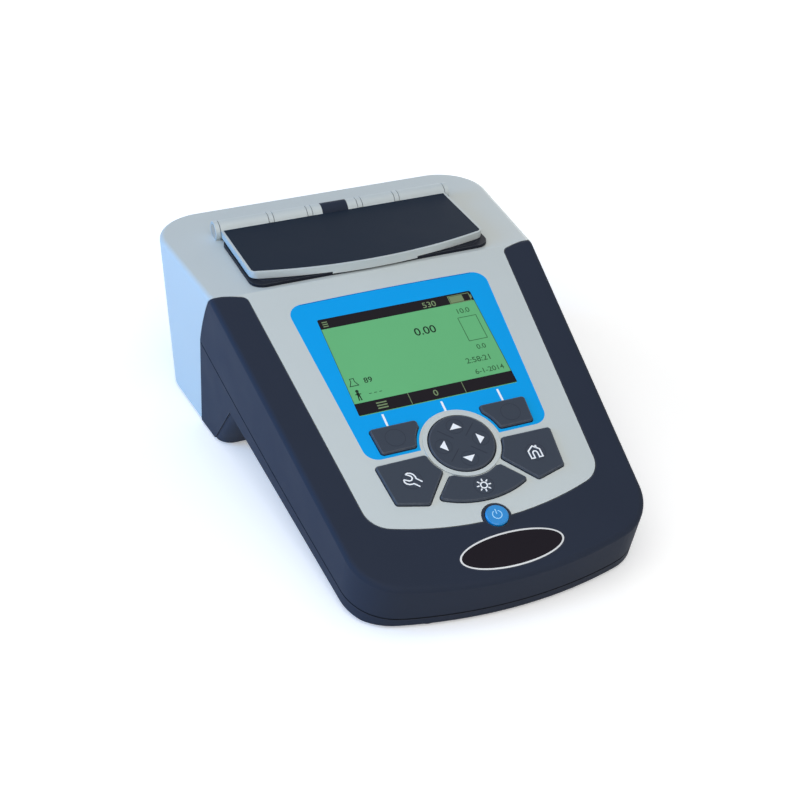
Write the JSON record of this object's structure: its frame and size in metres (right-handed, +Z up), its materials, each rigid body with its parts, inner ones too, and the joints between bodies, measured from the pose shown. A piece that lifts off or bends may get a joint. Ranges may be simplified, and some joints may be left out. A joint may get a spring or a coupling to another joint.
{
  "type": "portable spectrophotometer",
  "caption": "Portable bench spectrophotometer with a sloping display and key panel and a flip-up lid over its sample cell compartment.",
  "frame": {"origin": "centre of the bounding box's foot, on the table", "axes": "+X to the user's right, +Y to the rear, +Z up"},
  "size_m": [0.178, 0.261, 0.0956],
  "materials": {
    "silver_plastic": "fine satin texture, painted silver grey",
    "dark_plastic": "satin blue grey moulding",
    "overlay_film": "semi-gloss blue film",
    "clear_window": "clear polished plastic",
    "display_glass": "green transflective display",
    "white_plastic": "plain moulding",
    "circuit_board": "green solder mask",
    "rubber_black": "matt rubber",
    "key_rubber": "satin key rubber",
    "power_blue": "translucent blue key",
    "plaque_black": "gloss dark inlay",
    "bright_trim": "bright thin trim",
    "steel": "plain steel",
    "black_plastic": "matt black, low reflection",
    "bench_aluminium": "milled",
    "optical_glass": "polished",
    "cell_jacket": "plain printed jacket",
    "ribbon_film": "flexible flat cable"
  },
  "bodies": {
    "root": {"top_cover": "silver_plastic", "front_bezel": "dark_plastic", "lower_housing": "dark_plastic", "port_cover": "silver_plastic", "housing_screws": "steel", "feet": "rubber_black", "display_overlay": "overlay_film", "display_window": "clear_window", "display_panel": "display_glass", "display_backlight": "white_plastic", "display_frame": "white_plastic", "control_board": "circuit_board", "board_screws": "steel", "keypad_mat": "rubber_black", "power_switch": "black_plastic", "plaque": "plaque_black", "plaque_rim": "bright_trim", "hinge_pin": "steel", "hinge_caps": "bright_trim", "cell_tray": "black_plastic", "tray_gasket": "rubber_black", "cell_holder": "black_plastic", "cell_adapter": "black_plastic", "optical_bench": "bench_aluminium", "lamp_holder": "white_plastic", "lamp": "optical_glass", "lens_holder": "white_plastic", "collimating_lens": "optical_glass", "spectrometer_box": "black_plastic", "spectrometer_cover": "black_plastic", "diffraction_grating": "optical_glass", "detector": "circuit_board", "main_board": "circuit_board", "main_board_screws": "steel", "ribbon_cable": "ribbon_film", "battery_tray": "white_plastic", "batteries": "cell_jacket", "battery_contacts": "steel", "battery_door": "dark_plastic", "door_gasket": "rubber_black", "door_screws": "steel"},
    "lid": {"lid_frame": "silver_plastic", "lid_insert": "dark_plastic", "light_trap": "black_plastic"},
    "soft_key_left": {"soft_key_left": "key_rubber"},
    "soft_key_right": {"soft_key_right": "key_rubber"},
    "tools_key": {"tools_key": "key_rubber"},
    "home_key": {"home_key": "key_rubber"},
    "backlight_key": {"backlight_key": "key_rubber"},
    "power_key": {"power_key": "power_blue"},
    "nav_key": {"nav_key": "key_rubber"}
  },
  "joints": [
    {"name": "lid_hinge", "type": "hinge", "parent": "root", "child": "lid", "pos_m": [0, 0.0987, 0.0906], "axis": [-1, 0, 0], "range_deg": [0, 100]},
    {"name": "soft_key_left_press", "type": "slide", "parent": "root", "child": "soft_key_left", "axis": [0, 0.3502, -0.9367], "range_m": [0, 0.0008], "stiffness_N_per_m": 900},
    {"name": "soft_key_right_press", "type": "slide", "parent": "root", "child": "soft_key_right", "axis": [0, 0.3502, -0.9367], "range_m": [0, 0.0008], "stiffness_N_per_m": 900},
    {"name": "tools_key_press", "type": "slide", "parent": "root", "child": "tools_key", "axis": [0, 0.3502, -0.9367], "range_m": [0, 0.0008], "stiffness_N_per_m": 900},
    {"name": "home_key_press", "type": "slide", "parent": "root", "child": "home_key", "axis": [0, 0.3502, -0.9367], "range_m": [0, 0.0008], "stiffness_N_per_m": 900},
    {"name": "backlight_key_press", "type": "slide", "parent": "root", "child": "backlight_key", "axis": [0, 0.3502, -0.9367], "range_m": [0, 0.0008], "stiffness_N_per_m": 900},
    {"name": "power_key_press", "type": "slide", "parent": "root", "child": "power_key", "axis": [0, 0.3502, -0.9367], "range_m": [0, 0.0008], "stiffness_N_per_m": 900},
    {"name": "nav_key_rock", "type": "hinge", "parent": "root", "child": "nav_key", "pos_m": [0, -0.06278, 0.04435], "axis": [1, 0, 0], "range_deg": [-2.5, 2.5], "stiffness_Nm_per_rad": 1.2}
  ]
}
